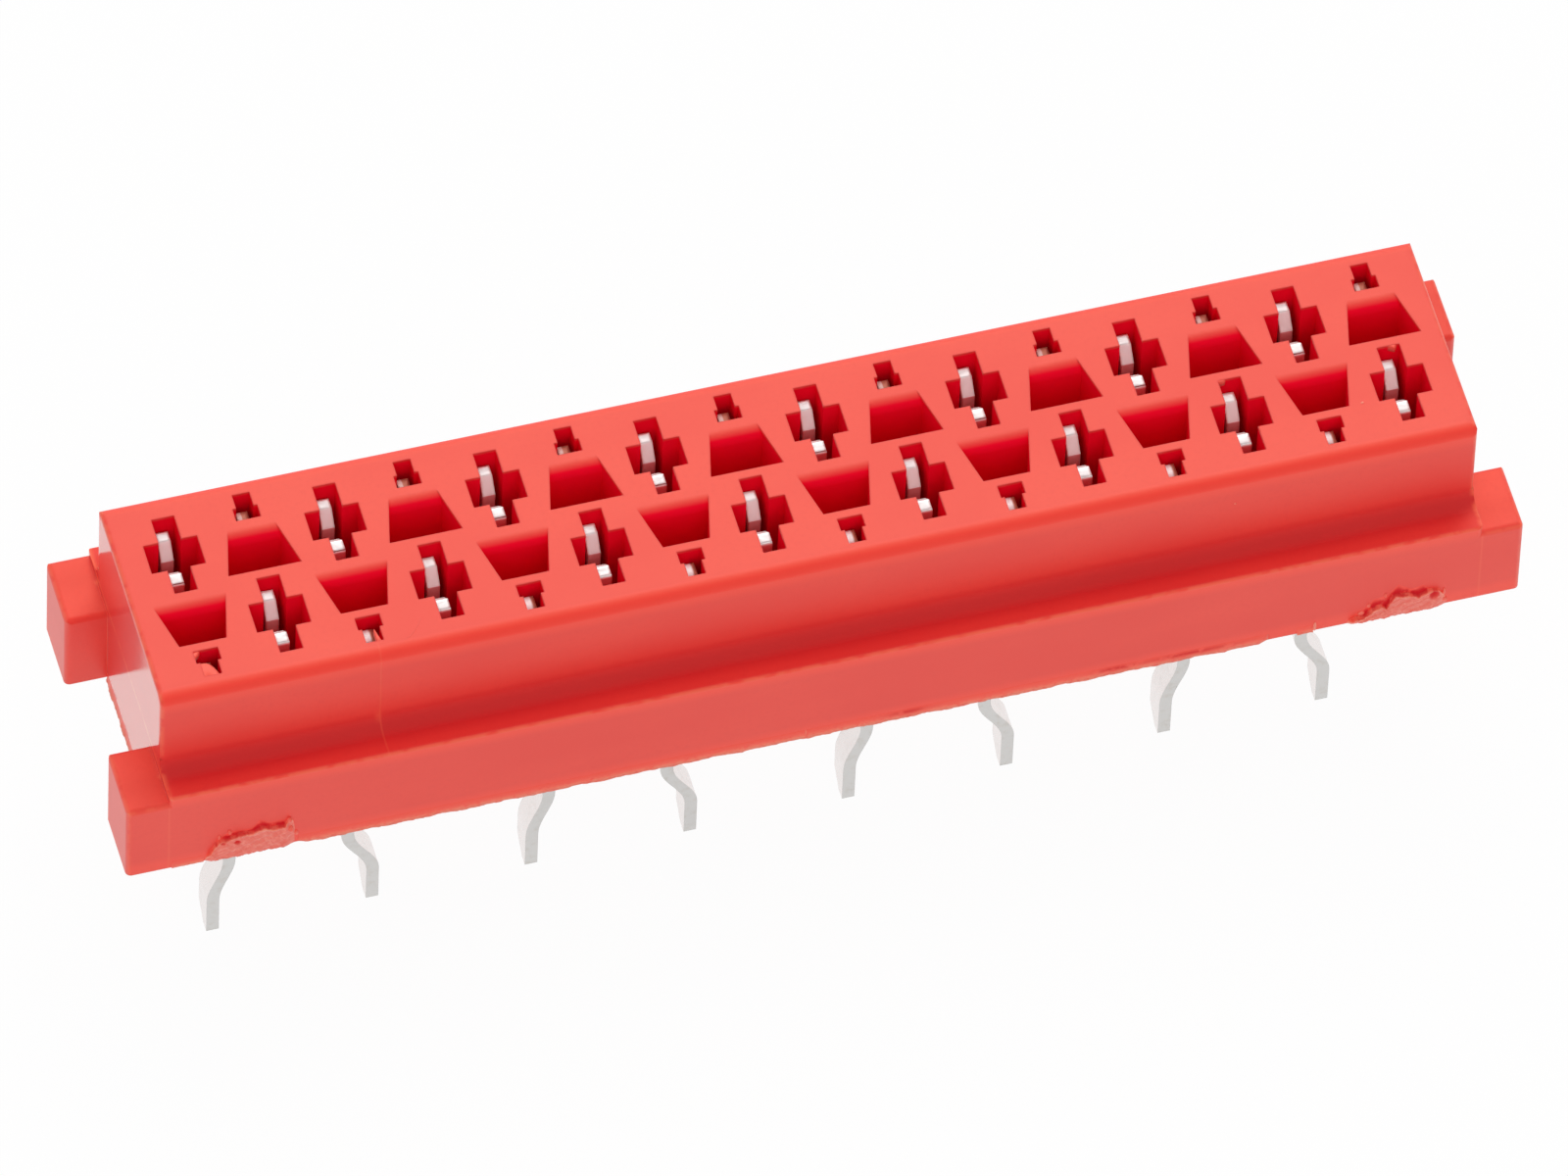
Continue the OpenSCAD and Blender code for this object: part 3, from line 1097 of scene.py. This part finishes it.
@dataclass(frozen=True)
class Crumb:
    """Grain of plastic that is stuck to a face, half sunk in it."""

    name: str
    centre: Triple
    radii: Triple
    seed: int
    pale: float = 1.0
    lip_share: float = 0.5
    bulge: float = 0.35
    reach: float = 1.45
    rings: int = 11
    points: int = 18

    def skin(self) -> Skin:
        """Shapes an uneven egg: rings of latitude whose radius varies by a ripple along each ring.

        Returns:
            The surface.
        """
        rise = np.linspace(-self.reach, self.reach, self.rings)[:, None]
        turn = np.linspace(0.0, 2 * np.pi, self.points, endpoint=False)[None, :]
        uneven = ripple(turn + 0 * rise, 2 * np.pi, self.seed, octaves=3)
        radius = np.cos(rise) * (1.0 + self.bulge * uneven * np.cos(rise))
        unit = np.stack((radius * np.cos(turn), radius * np.sin(turn), np.sin(rise) + 0 * turn), axis=-1)
        rings = np.array(self.centre) + unit * np.array(self.radii)
        return Skin(self.name, rings, {"face": self.pale, "lip": self.lip_share * self.pale, "crease": 0.0})


def flange_grain(name: str, place: Pair, radii: Triple, seed: int, proud: float = 0.0) -> Crumb:
    """Makes a reddish grain on the front of the flange.

    Args:
        name: name of the piece.
        place: its place along the rows and its height.
        radii: its radii.
        seed: number that picks its unevenness.
        proud: distance of its middle from the face.

    Returns:
        The grain.
    """
    along, height = place
    return Crumb(name, (along, -HEADER.flange - proud, height), radii, seed, pale=0.45)


@dataclass(frozen=True)
class ScratchRidge:
    """Fine raised line of a scratch on the top face."""

    name: str
    points: tuple[Pair, Pair, Pair]
    radius: float = 0.006
    end_share: float = 0.3
    rings: int = 48
    sides: int = 10
    pale: float = 0.6
    crease: float = 0.25

    def skin(self) -> Skin:
        """Sweeps a small circle along a curve through three points: the parabola whose middle is the second.

        Returns:
            The surface.
        """
        share = np.linspace(0.0, 1.0, self.rings)[:, None]
        first, middle, last = np.array(self.points)
        path = first * (1 - share) * (1 - 2 * share) + last * share * (2 * share - 1)
        path = path + middle * 4 * share * (1 - share)
        tangent = np.gradient(path, axis=0)
        side = np.stack((-tangent[:, 1], tangent[:, 0]), axis=1)
        side = side / np.linalg.norm(tangent, axis=1, keepdims=True)
        turn = np.linspace(0.0, 2 * np.pi, self.sides, endpoint=False)
        width = self.radius * (self.end_share + (1.0 - self.end_share) * np.sin(np.pi * share))
        plan = path[:, None, :] + side[:, None, :] * (width * np.cos(turn))[:, :, None]
        height = HEADER.top + (width * np.sin(turn))[:, :, None]
        rings = np.concatenate((plan, height), axis=-1)
        return Skin(self.name, rings, {"face": self.pale, "lip": 0.0, "crease": self.crease})


@dataclass(frozen=True)
class MouldMarks:
    """All that moulding and handling left on the housing."""

    stubs: tuple[GateStub, ...] = (
        GateStub(
            "gate_stub_left",
            lip=(
                (-9.86, 0.02), (-9.79, 0.18), (-9.64, 0.46), (-9.49, 0.46), (-9.32, 0.53), (-9.15, 0.52),
                (-8.91, 0.59), (-8.80, 0.51), (-8.60, 0.55), (-8.51, 0.66), (-8.46, 0.56), (-8.40, 0.03),
            ),
            crease=(
                (-9.69, 0.44), (-9.49, 0.62), (-9.11, 0.60), (-8.99, 0.79), (-8.84, 0.66), (-8.63, 0.66),
                (-8.56, 0.60),
            ),
            seed=3,
            pits=((-9.35, 0.35, 0.06, 0.05), (-9.58, 0.40, 0.05, 0.05)),
        ),
        GateStub(
            "gate_stub_right",
            lip=(
                (8.31, 0.03), (8.44, 0.11), (8.58, 0.10), (8.73, 0.29), (8.87, 0.30), (8.93, 0.23),
                (9.01, 0.43), (9.07, 0.51), (9.29, 0.47), (9.45, 0.37), (9.65, 0.47), (9.77, 0.43),
                (9.86, 0.26), (9.94, 0.03),
            ),
            crease=(
                (8.43, 0.16), (8.57, 0.30), (8.74, 0.50), (8.96, 0.53), (9.12, 0.76), (9.33, 0.56),
                (9.52, 0.62), (9.62, 0.46),
            ),
            seed=8,
            pits=((9.70, 0.33, 0.09, 0.13), (8.90, 0.30, 0.05, 0.05)),
        ),
    )
    flashes: tuple[EdgeFlash, ...] = (
        EdgeFlash(
            "flash_front",
            (-8.38, -HEADER.flange),
            (7.06, -HEADER.flange),
            TO_FRONT,
            21,
            dark_patches=((4.6, 0.3), (5.8, 0.7), (1.3, 0.3)),
        ),
        EdgeFlash(
            "flash_front_left",
            (-10.38, -HEADER.flange),
            (-9.87, -HEADER.flange),
            TO_FRONT,
            22,
            reach=0.010,
            hang=0.012,
        ),
        EdgeFlash(
            "flash_front_right",
            (7.52, -HEADER.flange),
            (7.78, -HEADER.flange),
            TO_FRONT,
            23,
            hang=0.03,
        ),
        EdgeFlash(
            "flash_left_end",
            (-HEADER.half_length, -1.25),
            (-HEADER.half_length, 1.25),
            TO_LEFT,
            24,
            reach=0.03,
            hang=0.012,
            wave=2.4,
        ),
    )
    burrs: tuple[Burr, ...] = (
        Burr(
            "keyhole_01_tongue",
            1,
            (
                (-0.17, -1.64), (0.12, -1.64), (0.08, -1.50), (0.03, -1.40), (-0.02, -1.345), (-0.09, -1.32),
                (-0.21, -1.33), (-0.21, -1.42),
            ),
        ),
        Burr(
            "keyhole_01_corner",
            1,
            ((-0.22, -1.09), (-0.08, -1.09), (-0.11, -1.16), (-0.16, -1.20), (-0.22, -1.25)),
        ),
        Burr(
            "keyhole_03_tongue",
            3,
            (
                (0.02, -1.64), (0.12, -1.64), (0.09, -1.50), (0.065, -1.38), (0.045, -1.33), (0.03, -1.38),
                (0.025, -1.48),
            ),
        ),
        Burr(
            "cross_14_burr",
            14,
            ((-0.21, 0.01), (-0.05, 0.01), (-0.06, -0.03), (-0.12, -0.045), (-0.21, -0.04)),
            sink=0.002,
        ),
        Burr(
            "cross_16_burr",
            16,
            ((-0.04, 0.01), (0.15, 0.01), (0.13, -0.04), (0.09, -0.08), (0.06, -0.05), (0.02, -0.03)),
            sink=0.002,
        ),
    )
    crumbs: tuple[Crumb, ...] = (
        Crumb("crumb_top", (8.84, -0.97, HEADER.top), (0.024, 0.022, 0.016), 31),
        Crumb("crumb_wall", (6.57, -HEADER.wall, 2.92), (0.020, 0.012, 0.020), 32),
        Crumb("crumb_rail", (HEADER.rail_end, 2.05, 1.45), (0.015, 0.05, 0.04), 33),
        Crumb("flake_edge", (7.80, -HEADER.flange - 0.005, 0.10), (0.028, 0.014, 0.11), 34),
        Crumb("flake_scratch", (-0.33, -HEADER.flange, 0.09), (0.010, 0.008, 0.07), 35),
        flange_grain("grain_left_1", (-8.533, 0.63), (0.035, 0.05, 0.06), 36, proud=0.015),
        flange_grain("grain_left_2", (-8.505, 0.40), (0.050, 0.055, 0.07), 37, proud=0.015),
        flange_grain("grain_left_3", (-8.41, 0.25), (0.026, 0.03, 0.06), 38),
        flange_grain("grain_left_4", (-9.468, 0.61), (0.030, 0.035, 0.05), 39),
        flange_grain("grain_left_5", (-9.631, 0.53), (0.022, 0.025, 0.06), 40),
        flange_grain("grain_right_1", (8.916, 0.53), (0.024, 0.03, 0.05), 41),
        flange_grain("grain_right_2", (8.659, 0.35), (0.030, 0.02, 0.05), 42),
        flange_grain("grain_right_3", (8.549, 0.19), (0.055, 0.02, 0.05), 43),
        flange_grain("grain_right_4", (9.86, 0.32), (0.022, 0.03, 0.09), 44),
        flange_grain("grain_right_5", (9.88, 0.12), (0.040, 0.03, 0.06), 45),
    )
    scratch: ScratchRidge = ScratchRidge("scratch_top", ((-6.20, -1.36), (-6.37, -1.58), (-6.55, -1.69)))

    def build(self, material: bpy.types.Material) -> None:
        """Adds every mark.

        Args:
            material: finish of torn plastic.
        """
        for mark in (*self.stubs, *self.flashes, *self.burrs, *self.crumbs, self.scratch):
            mark.skin().build(material)


@dataclass(frozen=True)
class PhotoView:
    """Camera of the photograph: a long lens that looks down on the header from its front left.

    Angles are in degrees. The near and far limits of the view are in metres.
    """

    azimuth: float = -17.61
    elevation: float = 53.483
    roll: float = 2.637
    distance: float = 398.6
    aim_right: float = -0.087
    aim_up: float = -1.832
    aim_height: float = HEADER.top
    lens: float = 598.9
    sensor_width: float = 36.0
    reach: Pair = (0.01, 20.0)

    def place(self) -> bpy.types.Object:
        """Adds the camera.

        Returns:
            The camera object.
        """
        azimuth, elevation, roll = (math.radians(v) for v in (self.azimuth, self.elevation, self.roll))
        level = Vector((-math.sin(azimuth), math.cos(azimuth), 0.0))
        forward = level * math.cos(elevation) - Vector((0.0, 0.0, math.sin(elevation)))
        turned = Matrix.Rotation(-roll, 3, forward)
        right = turned @ Vector((math.cos(azimuth), math.sin(azimuth), 0.0))
        upward = right.cross(forward)
        aim = Vector((0.0, 0.0, self.aim_height)) + right * self.aim_right + upward * self.aim_up
        data = bpy.data.cameras.new("photo_view")
        data.sensor_fit = "HORIZONTAL"
        data.sensor_width = self.sensor_width
        data.lens = self.lens
        data.clip_start, data.clip_end = self.reach
        camera = bpy.data.objects.new("photo_view", data)
        bpy.context.scene.collection.objects.link(camera)
        turn = Matrix((right, upward, -forward)).transposed().to_4x4()
        camera.matrix_world = Matrix.Translation((aim - forward * self.distance) * MM) @ turn
        bpy.context.scene.camera = camera
        return camera


@dataclass(frozen=True)
class Softbox:
    """A square lamp that faces the header, and shows in its gloss where mirrored. Lengths are in metres."""

    name: str
    direction: Triple
    distance: float
    size: float
    brightness: float
    mirrored: bool = True

    def place(self) -> bpy.types.Object:
        """Adds the lamp. Its power is brightness times pi times its area.

        Returns:
            The lamp object.
        """
        data = bpy.data.lights.new(self.name, "AREA")
        data.size = self.size
        data.energy = self.brightness * math.pi * self.size**2
        lamp = bpy.data.objects.new(self.name, data)
        back = Vector(self.direction).normalized()
        turn = back.to_track_quat("Z", "Y").to_matrix().to_4x4()
        lamp.matrix_world = Matrix.Translation(back * self.distance) @ turn
        lamp.visible_glossy = self.mirrored
        bpy.context.scene.collection.objects.link(lamp)
        return lamp


@dataclass(frozen=True)
class Studio:
    """White floor and surround with soft light from above. Lengths are in metres."""

    floor_height: float
    floor_size: float = 3.0
    floor_colour: Colour = (0.93, 0.93, 0.93)
    floor_glow: float = 0.96
    ambient: float = 0.52
    dark_side: Triple = (0.0, -0.82, 0.57)
    dark_edge: Pair = (0.30, 0.85)
    dark_depth: float = 0.75
    lamps: tuple[Softbox, ...] = (
        Softbox("softbox_rear", (0.18, 0.567, 0.804), 1.0, 0.70, 2.2),
        Softbox("softbox_above", (0.05, 0.10, 0.99), 1.0, 0.80, 0.6, mirrored=False),
        Softbox("fill_front", (-0.18, -0.80, 0.57), 1.0, 0.84, 0.9, mirrored=False),
    )

    def build(self) -> None:
        """Adds the floor, the surround and the lamps."""
        self.floor()
        self.surround()
        for lamp in self.lamps:
            lamp.place()

    def floor(self) -> None:
        """Adds a square floor under the tips of the tails.

        To the camera it is mostly white, with a share of the lit floor that keeps the shadow.
        """
        half = self.floor_size / 2
        plan = ((-half, -half), (half, -half), (half, half), (-half, half))
        mesh = bpy.data.meshes.new("floor")
        mesh.from_pydata([(x, y, self.floor_height) for x, y in plan], [], [(0, 1, 2, 3)])
        floor = bpy.data.objects.new("floor", mesh)
        bpy.context.scene.collection.objects.link(floor)
        material, shader = new_material("floor_white")
        lit = shader.node("ShaderNodeBsdfDiffuse", inputs={"Color": rgba(self.floor_colour)})
        white = shader.node("ShaderNodeEmission", inputs={"Color": rgba(WHITE), "Strength": 1.0})
        glow = shader.seen() * self.floor_glow
        mixed = shader.node("ShaderNodeMixShader", inputs={0: glow, 1: lit, 2: white})
        shader.node("ShaderNodeOutputMaterial", inputs={"Surface": mixed})
        mesh.materials.append(material)
        floor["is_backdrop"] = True

    def surround(self) -> None:
        """Fills the world with white for what is seen and a plain ambient level for what is lit.

        In reflections, the side that the photographer stands on is dark.
        """
        world = bpy.data.worlds.new("white_surround")
        world.use_nodes = True
        bpy.context.scene.world = world
        shader = Shader(world.node_tree)
        seen = shader.seen()
        plain = shader.node("ShaderNodeLightPath", output="Is Camera Ray")
        way = shader.node("ShaderNodeTexCoord", output="Generated")
        dark = shader.vector("DOT_PRODUCT", way, self.dark_side, "Value").step(*self.dark_edge)
        dark = dark * (1.0 - plain) * seen * self.dark_depth
        strength = (self.ambient + seen * (1.0 - self.ambient)) * (1.0 - dark)
        light = shader.node("ShaderNodeBackground", inputs={"Color": rgba(WHITE), "Strength": strength})
        shader.node("ShaderNodeOutputWorld", inputs={"Surface": light})


def dress(node: bpy.types.Object, material: bpy.types.Material) -> None:
    """Gives a solid of the frame its finish.

    Args:
        node: object of the solid.
        material: finish of its whole surface.
    """
    node.data.materials.clear()
    node.data.materials.append(material)
    LOG.info("dressed %s", node.name)


def main() -> None:
    """Dresses the frame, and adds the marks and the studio."""
    logging.basicConfig(level=logging.INFO, format="%(name)s: %(message)s")
    cad_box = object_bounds()
    moulded = HousingPlastic()
    plastic = moulded.material()
    tin = TinPlate().material()
    for name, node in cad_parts.items():
        dress(node, plastic if name == "housing" else tin)
    MouldMarks().build(TornPlastic(moulded).material())
    Studio(cad_box[0].z).build()
    PhotoView().place()
    bpy.context.scene.view_settings.view_transform = "Standard"


if __name__ == "__main__":
    main()
